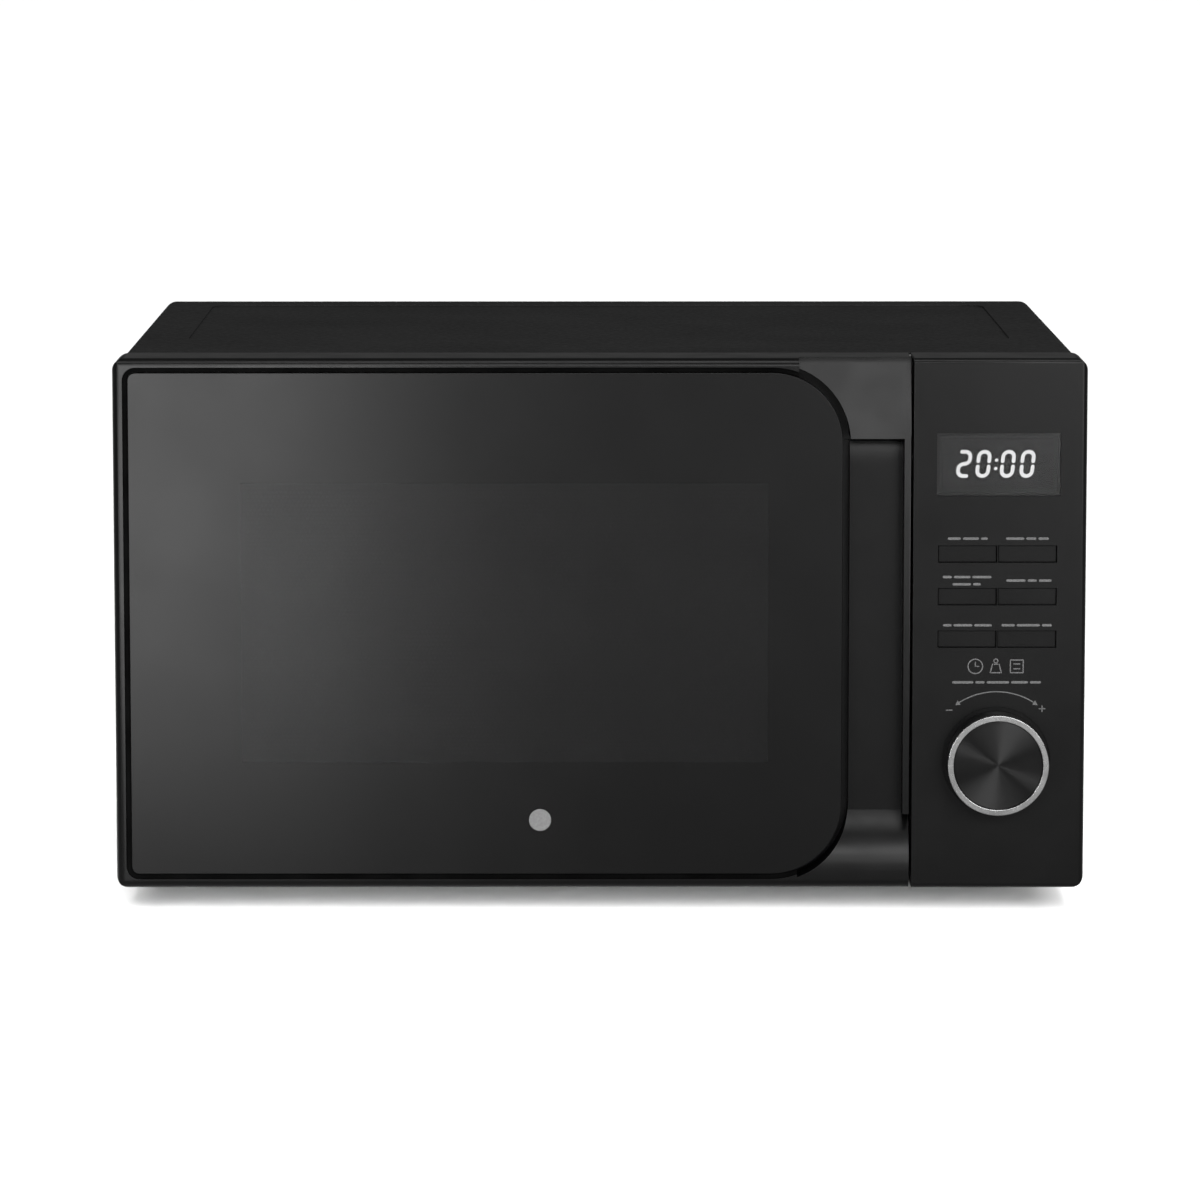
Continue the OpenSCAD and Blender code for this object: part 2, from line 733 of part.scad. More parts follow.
module control_board() {
    color([0.1, 0.35, 0.2]) {
        difference() {
            block([panel_x + 3.5, board_y, low + 8], [right - 3.5, board_y + board_t, high - 8]);
            rod_y(control_x, dial_z, board_y - past, board_y + board_t + past, dial_shaft_r + 1);
        }
        for (i = [0 : 5]) translate([key_x(i) + key_w / 2, 0, key_z(i) + key_h / 2])
            block([-3, board_y - 1, -3], [3, board_y, 3]);
        block([panel_x + 14, board_y + board_t, low + 90], [panel_x + 34, board_y + board_t + 12, low + 108]);
        block([panel_x + 42, board_y + board_t, low + 84], [panel_x + 60, board_y + board_t + 15, low + 112]);
    }
}

module dial_encoder() {
    color([0.6, 0.6, 0.62]) difference() {
        block([control_x - 6, front + wall + 0.5, dial_z - 6], [control_x + 6, board_y, dial_z + 6]);
        rod_y(control_x, dial_z, front, board_y + past, dial_shaft_r + run);
    }
}

module key(i) {
    face_y = front + key_sink;
    x = key_x(i);
    z = key_z(i);
    stem = [x + key_w / 2, z + key_h / 2];
    color([0.05, 0.05, 0.055]) {
        block([x, face_y, z], [x + key_w, front + wall + slack + 1, z + key_h]);
        block([x - 0.3, front + wall + slack, z - 1.3],
            [x + key_w + 0.3, front + wall + slack + 1, z + key_h + 1.3]);
        rod_y(stem[0], stem[1], front + wall + slack, board_y - 1 - key_travel - slack, 2);
    }
}

module dial_knob() {
    face_r = dial_r - ring_w;
    color([0.08, 0.08, 0.085]) {
        rod_y(control_x, dial_z, dial_y + 0.8, dial_y + 4, face_r);
        rod_y(control_x, dial_z, dial_y + 4, front - 0.8, dial_r - 0.4);
        rod_y(control_x, dial_z, front - 1, board_y - 1, dial_shaft_r);
    }
}

module dial_ring() {
    color([0.8, 0.81, 0.82]) difference() {
        rod_y(control_x, dial_z, dial_y, dial_y + 4, dial_r);
        rod_y(control_x, dial_z, dial_y - past, dial_y + 4 + past, dial_r - ring_w);
    }
}

// ---- Door ----

module glass_outline(grow) {
    big = glass_corner_r + grow;
    small = small_corner_r + grow;
    round_rect([glass_x0 - grow, glass_z0 - grow], [glass_x1 + grow, glass_z1 + grow],
        [small, big, big, small]);
}

// Side view of the pocket, in y and z: roll, floor, ramp and the slot under the lip
module pocket_profile() {
    difference() {
        polygon([[front - past, roll_z], [pocket_y, roll_z], [pocket_y, ramp_z], [ramp_y, slot_z],
            [slot_y, slot_z], [slot_y, lip_z], [front - past, lip_z]]);
        pocket_roll();
    }
}

module pocket_roll() {
    translate([front + roll_r, roll_z]) circle(roll_r);
}

// Side view of what the slope above the pocket and the roll below it take away
module pocket_ends() {
    polygon([[front - past, lip_z], [front, lip_z], [front + lip_slope, lip_top],
        [front + lip_slope, high + past], [front - past, high + past]]);
    difference() {
        translate([front - past, roll_z]) square([roll_r, roll_top - roll_z - slack]);
        pocket_roll();
    }
}

// The space that the fingers reach: the pocket, and the gap behind the glass edge
module pocket_space() {
    along_x(pocket_x0, pocket_x1) pocket_profile();
    along_x(pocket_x0, door_right + past) pocket_ends();
    along_y(front - past, under_y) intersection() {
        glass_outline(glass_gap);
        translate([pocket_x0, low + 3]) square([right, high - low - 6]);
    }
}

module pocket_tub() {
    block([pocket_x0 - 3, front + 0.5, low + 1], [door_right - 1, under_y + 2.5, high - 1]);
}

module hinge_blocks() {
    for (z = tab_z) block([left + 1, hinge_y - 7, z - 8], [hinge_x + 9, door_back, z + 10]);
}

// Outer form of the door; its back left edge is round to clear the front plate as it swings
module door_form() {
    front_solid(left, door_right, door_back, [front_corner_r, 0.5, 0.5, front_corner_r],
        door_edge_r, [door_edge_r, 0.5, 0, back_edge_r]);
}

module door_frame() {
    color([0.06, 0.06, 0.065]) difference() {
        intersection() {
            door_form();
            union() {
                difference() {
                    door_form();
                    block([left + 3, glass_back + wall, low + 3], [door_right - 3, plate_y, high - 3]);
                }
                pocket_tub();
                hinge_blocks();
            }
        }
        pocket_space();
        along_y(front - past, front + groove_d) glass_outline(groove_w);
        along_y(front - past, glass_back) glass_outline(0.2);
        along_y(front, plate_y) round_rect([window_x[0] - 12, window_z[0] - 12],
            [window_x[1] + 3, window_z[1] + 12], [8, 8, 8, 8]);
        hinge_slots();
        hinge_axis(pin_r);
    }
}

// Room for the bracket tabs, open to the back and to the left
module hinge_slots() {
    for (z = tab_z) block([left - past, hinge_y - 6.5, z - tab_room],
        [hinge_x + 9.5, plate_y, z + tab_t + tab_room]);
}

module hinge_axis(r) {
    for (z = tab_z) rod_z(hinge_x, hinge_y, z - 6, z + tab_t + 6, r);
}

module door_hinge_pins() {
    color([0.7, 0.7, 0.72]) hinge_axis(pin_r);
}

// Bracket tabs, which stand out through the front plate
module hinge_tabs() {
    for (z = tab_z) block([hinge_x - 3.6, hinge_y - 3.6, z], [hinge_x + 7, plate_back + 0.9, z + tab_t]);
}

module hinge_brackets() {
    color([0.66, 0.67, 0.68]) difference() {
        union() {
            hinge_tabs();
            for (z = tab_z)
                block([hinge_x - 3.6, plate_back, z - 5], [hinge_x + 7, plate_back + 0.9, z + 6]);
        }
        hinge_axis(pin_r + run);
    }
}

module door_glass() {
    color([0.03, 0.03, 0.035]) along_y(front, glass_back) glass_outline(0);
}

module door_screen() {
    color([0.25, 0.25, 0.26]) difference() {
        block([choke_x[0] + 1, screen_y, choke_z[0] + 1], [choke_x[1] - 1, choke_y, choke_z[1] - 1]);
        block([choke_x[0] + 2, screen_y + 1, choke_z[0] + 2],
            [choke_x[1] - 2, choke_y + past, choke_z[1] - 2]);
    }
}

module door_inner_window() {
    color([0.1, 0.1, 0.1, 0.5]) block([choke_x[0] + 8, inner_window_y, choke_z[0] + 8],
        [choke_x[1] - 8, inner_window_y + 1.5, choke_z[1] - 8]);
}

// Plastic cover of the microwave choke round the inner window
module door_choke_cover() {
    color([0.05, 0.05, 0.055]) difference() {
        union() {
            along_y(choke_y, door_back - 0.2)
                round_rect([choke_x[0], choke_z[0]], [door_right - 3.2, choke_z[1]], [6, 6, 6, 6]);
            along_y(inner_window_y, door_back - 0.5) inner_frame(2.2, 7.9);
        }
        along_y(inner_window_y - past, plate_y) round_rect([window_x[0] - 8, window_z[0] - 16],
            [window_x[1] - 4, window_z[1] + 16], [6, 6, 6, 6]);
        for (z = hook_z) block([latch_x - 3, choke_y - past, z - 1],
            [latch_x + 3, plate_y, z + hook_h + latch_lift + 1]);
    }
}

module inner_frame(outer, inner) {
    difference() {
        round_rect([choke_x[0] + outer, choke_z[0] + outer],
            [choke_x[1] - outer, choke_z[1] - outer], [4, 4, 4, 4]);
        translate([choke_x[0] + inner, choke_z[0] + inner])
            square([choke_x[1] - choke_x[0] - 2 * inner, choke_z[1] - choke_z[0] - 2 * inner]);
    }
}

module door_badge() {
    badge_x = (window_x[0] + window_x[1]) / 2 + 16;
    color([0.6, 0.6, 0.6]) rod_y(badge_x, low + 31.5, front - 0.2, front, 5);
}

module door_latch() {
    half = 2;
    plate_front = under_y + 4;
    color([0.85, 0.85, 0.86]) {
        block([latch_x - 2, plate_front, hook_z[0] - 10], [latch_x + 5.5, plate_front + 3, hook_z[1] + 20]);
        for (z = hook_z) {
            block([latch_x - half, plate_front, z + 3], [latch_x + half, plate_back + 16, z + hook_h]);
            block([latch_x - half, plate_back + 11, z], [latch_x + half, plate_back + 16, z + hook_h]);
        }
    }
}

// Spring that draws the latch down, between the latch and the door frame
module latch_spring() {
    z0 = hook_z[1] + 20;
    wire_r = 0.4;
    turns = 7;
    color([0.7, 0.7, 0.72]) for (i = [0 : turns - 1])
        translate([latch_x + 2, under_y + 5, z0 + 0.5 + i * 1.6]) rotate_extrude($fn = 32)
            translate([1.9, 0]) circle(r = wire_r, $fn = 16);
}

outer_casing();
back_panel();
base_plate();
feet();
front_plate();
cavity_floor();
cavity_wrap();
cavity_back();
waveguide();
waveguide_cover();
magnetron_body();
magnetron_core();
magnetron_filter_box();
transformer_core();
transformer_windings();
capacitor();
high_voltage_diode();
fan_motor();
fan_shroud();
turntable_motor();
lamp_holder();
lamp_bulb();
noise_filter_board();
mains_fuse();
thermal_cutouts();
interlock_bracket();
interlock_switches();
control_panel();
control_board();
display_module();
display_window();
dial_encoder();
hinge_brackets();
casing_screws();
cord_gland();
door_frame();
door_glass();
door_screen();
door_inner_window();
door_choke_cover();
door_hinge_pins();
door_badge();
door_latch();
latch_spring();
key(0);  // key_1
key(1);  // key_2
key(2);  // key_3
key(3);  // key_4
key(4);  // key_5
key(5);  // key_6
dial_knob();
dial_ring();
turntable_coupler();
glass_tray();
roller_ring();
roller(0);  // roller_1
roller(120);  // roller_2
roller(240);  // roller_3
fan_blade();
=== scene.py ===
"""Looks of a countertop microwave oven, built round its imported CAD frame."""

import json
import math

import bmesh
import bpy
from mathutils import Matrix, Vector

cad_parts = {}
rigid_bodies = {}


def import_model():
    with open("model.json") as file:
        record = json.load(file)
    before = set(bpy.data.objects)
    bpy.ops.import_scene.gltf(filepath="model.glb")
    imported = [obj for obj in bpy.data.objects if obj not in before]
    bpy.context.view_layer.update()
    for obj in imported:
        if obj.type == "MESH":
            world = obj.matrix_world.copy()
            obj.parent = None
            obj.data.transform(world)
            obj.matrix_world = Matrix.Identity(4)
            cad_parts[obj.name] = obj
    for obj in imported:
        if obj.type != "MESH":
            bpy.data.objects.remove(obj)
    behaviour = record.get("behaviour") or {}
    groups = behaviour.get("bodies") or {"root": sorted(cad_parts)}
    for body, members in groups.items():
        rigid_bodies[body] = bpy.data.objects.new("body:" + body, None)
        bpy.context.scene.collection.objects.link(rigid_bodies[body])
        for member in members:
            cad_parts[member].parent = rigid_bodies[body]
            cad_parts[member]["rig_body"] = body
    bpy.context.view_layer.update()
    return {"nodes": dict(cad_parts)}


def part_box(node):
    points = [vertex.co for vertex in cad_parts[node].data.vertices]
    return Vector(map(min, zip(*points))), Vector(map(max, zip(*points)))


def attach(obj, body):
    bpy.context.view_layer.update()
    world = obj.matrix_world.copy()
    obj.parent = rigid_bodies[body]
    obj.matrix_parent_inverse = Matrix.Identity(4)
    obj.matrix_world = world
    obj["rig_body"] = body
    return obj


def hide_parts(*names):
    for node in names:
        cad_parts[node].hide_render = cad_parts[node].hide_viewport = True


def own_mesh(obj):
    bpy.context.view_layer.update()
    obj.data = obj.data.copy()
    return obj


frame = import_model()

MM = 0.001

# ---------------------------------------------------------------- measures

FRONT_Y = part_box("door_frame")[0].y
GLASS_LOW, GLASS_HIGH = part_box("door_glass")
DIAL_LOW, DIAL_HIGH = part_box("dial_ring")
DIAL_X = (DIAL_LOW.x + DIAL_HIGH.x) / 2
DIAL_Z = (DIAL_LOW.z + DIAL_HIGH.z) / 2

# The window left clear in the print on the door glass, and the spacing of the screen's holes.
WINDOW_LOW = Vector((-162.7, 0, 71.7)) * MM
WINDOW_HIGH = Vector((76.2, 0, 199.4)) * MM
SCREEN_PITCH = 2.0 * MM
# Radius of a hole in the screen, as a share of that spacing.
HOLE_RADIUS = math.sqrt(0.1)

# How far a printed mark stands out from its face.
PRINT_DEPTH = 0.05 * MM

# The groove round the door glass: its depth, how far it reaches from the glass, and the
# difference at which two depths still count as the same.
GROOVE_DEPTH = 2.0 * MM
GROOVE_REACH = 2.5 * MM
SLACK = 0.02 * MM

# Bevelling: corners this close are one, bends under FLAT are flat, and bends over SHARP are edges.
WELD_GAP = 0.002 * MM
FLAT = math.radians(0.2)
SHARP = math.radians(40)
SHADED_SHARP = math.radians(38)


# ---------------------------------------------------------------- material kit


class Finish:
    """One material: a Principled shader and the object-space patterns that feed it."""

    def __init__(self, name, colour, roughness, metallic=0.0, specular=0.5):
        self.material = bpy.data.materials.new(name)
        self.material.use_nodes = True
        self.tree = self.material.node_tree
        self.shader = self.tree.nodes["Principled BSDF"]
        self.place = self.node("ShaderNodeTexCoord").outputs["Object"]
        self.set("Base Color", (*colour, 1.0))
        self.set("Roughness", roughness)
        self.set("Metallic", metallic)
        self.set("Specular IOR Level", specular)

    def set(self, socket, value):
        self.shader.inputs[socket].default_value = value

    def node(self, kind, inputs=None, **settings):
        made = self.tree.nodes.new(kind)
        for key, value in settings.items():
            setattr(made, key, value)
        for key, value in (inputs or {}).items():
            if isinstance(value, bpy.types.NodeSocket):
                self.tree.links.new(value, made.inputs[key])
            else:
                made.inputs[key].default_value = value
        return made

    def feed(self, socket, source):
        self.tree.links.new(source, self.shader.inputs[socket])

    def stretched(self, scale):
        mapping = self.node("ShaderNodeMapping", {"Vector": self.place, "Scale": scale})
        return mapping.outputs["Vector"]

    def noise(self, per_metre, detail=2.0, scale=(1, 1, 1)):
        inputs = {"Vector": self.stretched(scale), "Scale": per_metre, "Detail": detail}
        return self.node("ShaderNodeTexNoise", inputs).outputs["Fac"]

    def cells(self, per_metre, output="Color"):
        inputs = {"Vector": self.place, "Scale": per_metre}
        return self.node("ShaderNodeTexVoronoi", inputs).outputs[output]

    def math(self, operation, first, second=0.0):
        made = self.node("ShaderNodeMath", operation=operation)
        for index, value in enumerate((first, second)):
            if isinstance(value, bpy.types.NodeSocket):
                self.tree.links.new(value, made.inputs[index])
            else:
                made.inputs[index].default_value = value
        return made.outputs[0]

    def spread(self, source, low, high, start=0.3, end=0.7):
        """Source, from start to end, becomes low to high."""
        inputs = {"Value": source, "From Min": start, "From Max": end, "To Min": low, "To Max": high}
        return self.node("ShaderNodeMapRange", inputs).outputs["Result"]

    def blend(self, factor, first, second):
        mix = self.node("ShaderNodeMix", data_type="RGBA")
        self.tree.links.new(factor, mix.inputs["Factor"])
        for index, colour in ((6, first), (7, second)):
            if isinstance(colour, bpy.types.NodeSocket):
                self.tree.links.new(colour, mix.inputs[index])
            else:
                mix.inputs[index].default_value = (*colour, 1.0)
        return mix.outputs[2]

    def mottle(self, source, first, second, start=0.35, end=0.65):
        """The base colour wanders between two colours."""
        self.feed("Base Color", self.blend(self.spread(source, 0.0, 1.0, start, end), first, second))

    def roughen(self, source, low, high):
        self.feed("Roughness", self.spread(source, low, high))

    def bump(self, height, depth):
        inputs = {"Height": height, "Distance": depth}
        self.feed("Normal", self.node("ShaderNodeBump", inputs).outputs["Normal"])

    def axes(self):
        """The place along X, Y and Z, in metres."""
        return tuple(self.node("ShaderNodeSeparateXYZ", {"Vector": self.place}).outputs)

    def inside(self, value, low, high):
        """One where value lies between low and high, and zero elsewhere."""
        above = self.math("GREATER_THAN", value, low)
        below = self.math("LESS_THAN", value, high)
        return self.math("MULTIPLY", above, below)

    def window_field(self):
        """One over the window of the door glass, and zero elsewhere."""
        x, _, z = self.axes()
        across = self.inside(x, WINDOW_LOW.x, WINDOW_HIGH.x)
        upright = self.inside(z, WINDOW_LOW.z, WINDOW_HIGH.z)
        return self.math("MULTIPLY", across, upright)


def grey(level):
    return (level, level, level)


# ---------------------------------------------------------------- materials


def black_gloss():
    finish = Finish("black_gloss", grey(0.0005), 0.32, specular=0.042)
    finish.mottle(finish.noise(9, 3), grey(0.0004), grey(0.0006))
    finish.roughen(finish.noise(55, 5), 0.28, 0.35)
    finish.bump(finish.noise(260, 2), 0.012 * MM)
    return finish


def painted_groove_shade():
    """Painted shade: dead matt black without reflection on the floor and walls of the groove round the
    glass, in place of the shade a deeper groove would hold.
    """
    finish = Finish("painted_groove_shade", grey(0.0008), 0.9, specular=0.0)
    finish.mottle(finish.noise(60, 3), grey(0.0006), grey(0.001))
    finish.roughen(finish.noise(200, 3), 0.85, 0.95)
    return finish


def black_glass():
    """Dark glass, printed black behind except over the window field."""
    finish = Finish("black_glass", grey(0.0005), 0.32, specular=0.042)
    window = finish.window_field()
    finish.feed("Base Color", finish.blend(window, grey(0.0004), grey(0.0014)))
    finish.feed("Alpha", finish.spread(window, 1.0, 0.88, 0.0, 1.0))
    finish.roughen(finish.noise(28, 4), 0.3, 0.34)
    return finish


def casing_enamel():
    finish = Finish("casing_enamel", grey(0.0055), 0.7, specular=0.025)
    finish.mottle(finish.noise(14, 4), grey(0.0048), grey(0.0064))
    finish.roughen(finish.noise(420, 3), 0.55, 0.72)
    finish.bump(finish.noise(1500, 2), 0.05 * MM)
    return finish


def galvanised_steel():
    finish = Finish("galvanised_steel", grey(0.5), 0.4, metallic=1.0)
    finish.mottle(finish.cells(190), grey(0.46), grey(0.56), 0.1, 0.9)
    finish.roughen(finish.cells(170), 0.36, 0.48)
    finish.bump(finish.noise(240, 3), 0.02 * MM)
    return finish


def cavity_enamel():
    """Pale grey enamel with the fine dark speckle that oven cavities have."""
    finish = Finish("cavity_enamel", grey(0.1), 0.42)
    speckle = finish.spread(finish.cells(620, "Distance"), 1.0, 0.0, 0.1, 0.22)
    shade = finish.blend(finish.noise(11, 3), grey(0.09), grey(0.11))
    finish.feed("Base Color", finish.blend(speckle, shade, grey(0.035)))
    finish.roughen(finish.noise(180, 3), 0.36, 0.5)
    finish.bump(finish.noise(700, 2), 0.02 * MM)
    return finish


def foot_rubber():
    finish = Finish("foot_rubber", grey(0.02), 0.8, specular=0.3)
    finish.mottle(finish.noise(160, 4), grey(0.014), grey(0.03))
    finish.roughen(finish.noise(300, 3), 0.7, 0.9)
    finish.bump(finish.noise(900, 3), 0.06 * MM)
    return finish


def smoked_lens():
    finish = Finish("smoked_lens", grey(0.002), 0.22, specular=0.1)
    finish.mottle(finish.noise(40, 2), grey(0.0016), grey(0.0024))
    finish.roughen(finish.noise(90, 4), 0.2, 0.28)
    finish.set("Alpha", 0.72)
    return finish


def screen_steel():
    """Blackened steel, punched right through with rows of round holes over the window."""
    finish = Finish("screen_steel", grey(0.025), 0.5, metallic=0.6)
    x, _, z = finish.axes()
    row = finish.math("FLOOR", finish.math("DIVIDE", z, SCREEN_PITCH))
    shift = finish.math("MULTIPLY", row, 0.5)
    across = finish.math("ADD", finish.math("DIVIDE", x, SCREEN_PITCH), shift)
    u = finish.math("SUBTRACT", finish.math("FRACT", across), 0.5)
    v = finish.math("SUBTRACT", finish.math("FRACT", finish.math("DIVIDE", z, SCREEN_PITCH)), 0.5)
    squared = finish.math("ADD", finish.math("MULTIPLY", u, u), finish.math("MULTIPLY", v, v))
    round_hole = finish.math("LESS_THAN", squared, HOLE_RADIUS**2)
    hole = finish.math("MULTIPLY", round_hole, finish.window_field())
    finish.feed("Alpha", finish.math("SUBTRACT", 1.0, hole))
    finish.mottle(finish.noise(60, 3), grey(0.02), grey(0.03))
    finish.roughen(finish.noise(150, 3), 0.4, 0.6)
    return finish


def clear_film():
    finish = Finish("clear_film", grey(0.05), 0.15)
    finish.mottle(finish.noise(20, 2), grey(0.045), grey(0.055))
    finish.roughen(finish.noise(60, 3), 0.1, 0.2)
    finish.set("Alpha", 0.12)
    return finish


def moulding(name, dark, light, roughness, specular=0.4):
    """Moulded plastic with a fine spark-eroded grain."""
    finish = Finish(name, dark, roughness, specular=specular)
    finish.mottle(finish.noise(35, 4), dark, light)
    finish.roughen(finish.noise(220, 3), roughness - 0.06, roughness + 0.08)
    finish.bump(finish.noise(1100, 3), 0.03 * MM)
    return finish


def dial_black():
    """Anodised face, turned on a lathe, so its fine grooves run round the dial's axis."""
    groove_pitch = 0.5 * MM
    finish = Finish("dial_black", grey(0.006), 0.34, metallic=1.0)
    finish.set("Anisotropic", 1.0)
    finish.set("Anisotropic Rotation", 0.25)
    tangent = finish.node("ShaderNodeTangent", direction_type="RADIAL", axis="Y")
    finish.feed("Tangent", tangent.outputs["Tangent"])
    x, _, z = finish.axes()
    right = finish.math("SUBTRACT", x, DIAL_X)
    up = finish.math("SUBTRACT", z, DIAL_Z)
    squared = finish.math("ADD", finish.math("MULTIPLY", right, right), finish.math("MULTIPLY", up, up))
    radius = finish.math("SQRT", squared)
    groove = finish.math("SINE", finish.math("MULTIPLY", radius, 2 * math.pi / groove_pitch))
    finish.mottle(groove, grey(0.005), grey(0.007), -1.0, 1.0)
    finish.roughen(finish.noise(80, 3), 0.3, 0.38)
    return finish


def dial_chrome():
    finish = Finish("dial_chrome", grey(0.08), 0.22, metallic=1.0)
    finish.mottle(finish.noise(70, 3), grey(0.07), grey(0.09))
    finish.roughen(finish.noise(500, 3), 0.2, 0.3)
    return finish


def tray_glass():
    finish = Finish("tray_glass", (0.93, 0.97, 0.95), 0.04, specular=0.5)
    finish.set("Transmission Weight", 0.96)
    finish.set("IOR", 1.5)
    finish.roughen(finish.noise(40, 3), 0.02, 0.08)
    finish.bump(finish.noise(60, 2), 0.05 * MM)
    return finish


def mica():
    finish = Finish("mica", (0.42, 0.36, 0.28), 0.45)
    finish.mottle(finish.noise(70, 5, (1, 1, 3)), (0.3, 0.25, 0.19), (0.52, 0.46, 0.37))
    finish.roughen(finish.noise(200, 3), 0.3, 0.6)
    finish.bump(finish.noise(350, 4), 0.04 * MM)
    return finish


def copper():
    """Lacquered winding wire, lying in close turns."""
    finish = Finish("copper", (0.55, 0.2, 0.08), 0.32, metallic=1.0)
    wave = finish.node("ShaderNodeTexWave", {"Vector": finish.place, "Scale": 210.0}, bands_direction="Z")
    finish.mottle(wave.outputs["Fac"], (0.34, 0.11, 0.04), (0.62, 0.25, 0.11), 0.1, 0.9)
    finish.roughen(finish.noise(120, 3), 0.26, 0.4)
    finish.bump(wave.outputs["Fac"], 0.2 * MM)
    return finish


def core_iron():
    """Stacked laminations, seen edge on, under a dip of varnish."""
    finish = Finish("core_iron", grey(0.12), 0.45, metallic=0.7)
    wave = finish.node("ShaderNodeTexWave", {"Vector": finish.place, "Scale": 320.0}, bands_direction="Y")
    finish.mottle(finish.noise(90, 4), grey(0.07), (0.2, 0.16, 0.12))
    finish.roughen(finish.noise(160, 3), 0.35, 0.6)
    finish.bump(wave.outputs["Fac"], 0.08 * MM)
    return finish


def can_aluminium():
    finish = Finish("can_aluminium", grey(0.66), 0.36, metallic=1.0)
    finish.mottle(finish.noise(50, 3, (1, 1, 8)), grey(0.6), grey(0.72))
    finish.roughen(finish.noise(160, 3, (1, 1, 6)), 0.28, 0.44)
    return finish


def lamp_glass():
    finish = Finish("lamp_glass", (0.95, 0.93, 0.88), 0.05)
    finish.set("Transmission Weight", 0.9)
    finish.roughen(finish.noise(60, 2), 0.03, 0.1)
    return finish


def board(name, dark, light):
    finish = Finish(name, dark, 0.4)
    finish.mottle(finish.noise(120, 3, (1, 1, 6)), dark, light)
    finish.roughen(finish.noise(300, 3), 0.3, 0.5)
    finish.bump(finish.noise(800, 2), 0.03 * MM)
    return finish


def printed(name, dark, light):
    """Matt printing ink."""
    finish = Finish(name, dark, 0.5, specular=0.1)
    finish.mottle(finish.noise(900, 2), dark, light)
    finish.roughen(finish.noise(500, 2), 0.45, 0.55)
    return finish


def display_glow():
    """Lit segments of the display."""
    finish = Finish("display_glow", grey(0.7), 0.5)
    finish.set("Emission Color", (1.0, 1.0, 1.0, 1.0))
    finish.feed("Emission Strength", finish.spread(finish.noise(500, 2), 9.0, 10.0))
    return finish


# Finishes outside the table of slots below.
DISPLAY_GLOW = display_glow()
PANEL_PRINT = printed("panel_print", grey(0.024), grey(0.032))
# Painted shade for the groove round the door glass.
PAINTED_GROOVE_SHADE = painted_groove_shade()

# One finish for each material slot of the record.
FINISHES = {
    "casing_enamel": casing_enamel(),
    "galvanised_steel": galvanised_steel(),
    "cavity_enamel": cavity_enamel(),
    "foot_rubber": foot_rubber(),
    "black_gloss": black_gloss(),
    "black_glass": black_glass(),
    "smoked_lens": smoked_lens(),
    "screen_steel": screen_steel(),
    "clear_film": clear_film(),
    "black_moulding": moulding("black_moulding", grey(0.008), grey(0.013), 0.5, specular=0.2),
    "white_moulding": moulding("white_moulding", (0.27, 0.265, 0.25), (0.33, 0.325, 0.31), 0.45),
    "key_black": moulding("key_black", grey(0.0004), grey(0.0008), 0.42, specular=0.035),
    "dial_black": dial_black(),
    "dial_chrome": dial_chrome(),
    "tray_glass": tray_glass(),
    "mica": mica(),
    "copper": copper(),
    "core_iron": core_iron(),
    "can_aluminium": can_aluminium(),
    "lamp_glass": lamp_glass(),
    "board_tan": board("board_tan", (0.3, 0.19, 0.09), (0.38, 0.25, 0.12)),
    "board_green": board("board_green", (0.01, 0.07, 0.03), (0.02, 0.11, 0.05)),
    "badge_print": printed("badge_print", grey(0.035), grey(0.045)),
}

# A CAD node arrives with a material named after its slot.
SLOTS = {name: node.data.materials[0].name for name, node in frame["nodes"].items()}
for name, node in frame["nodes"].items():
    node.data.materials[0] = FINISHES[SLOTS[name]].material


# ---------------------------------------------------------------- finished copies of CAD nodes


def welded(mesh):
    """The mesh as a bmesh, its corners joined and its flat faces made whole."""
    if "custom_normal" in mesh.attributes:
        mesh.attributes.remove(mesh.attributes["custom_normal"])
    work = bmesh.new()
    work.from_mesh(mesh)
    bmesh.ops.remove_doubles(work, verts=work.verts, dist=WELD_GAP)
    bmesh.ops.dissolve_limit(work, angle_limit=FLAT, verts=work.verts, edges=work.edges)
    return work


def sharp_edges(work):
    return [e for e in work.edges if len(e.link_faces) == 2 and e.calc_face_angle() > SHARP]


def finished(node, radius):
    """Stands for a CAD node, with a mould or tool radius in millimetres on its sharp edges."""
    source = frame["nodes"][node]
    mesh = source.data.copy()
    work = welded(mesh)
    bmesh.ops.bevel(
        work,
        geom=sharp_edges(work),
        offset=radius * MM,
        offset_type="OFFSET",
        segments=3,
        profile=0.5,
        affect="EDGES",
        clamp_overlap=True,
    )
    work.to_mesh(mesh)
    work.free()
    mesh.shade_smooth()
    mesh.set_sharp_from_angle(angle=SHADED_SHARP)
    piece = bpy.data.objects.new(node + "_finished", mesh)
    bpy.context.scene.collection.objects.link(piece)
    normals = piece.modifiers.new("flat_faces_first", "WEIGHTED_NORMAL")
    normals.keep_sharp = True
    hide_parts(node)
    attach(piece, source["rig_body"])
    return piece


def paint_groove_shade(frame_piece):
    """Paints shade into the groove round the glass: its floor and walls take the matt black without
    reflection.
    """
    mesh = frame_piece.data
    mesh.materials.append(PAINTED_GROOVE_SHADE.material)
    floor_y = FRONT_Y + GROOVE_DEPTH
    for face in mesh.polygons:
        depths = [mesh.vertices[i].co.y for i in face.vertices]
        beside = all(
            GLASS_LOW[i] - GROOVE_REACH < face.center[i] < GLASS_HIGH[i] + GROOVE_REACH for i in (0, 2)
        )
        shallow = min(depths) > FRONT_Y - SLACK and max(depths) < floor_y + SLACK
        upright = abs(face.normal.y) < 0.3
        on_floor = abs(face.center.y - floor_y) < 3 * SLACK
        if beside and shallow and (upright or on_floor):
            face.material_index = 1


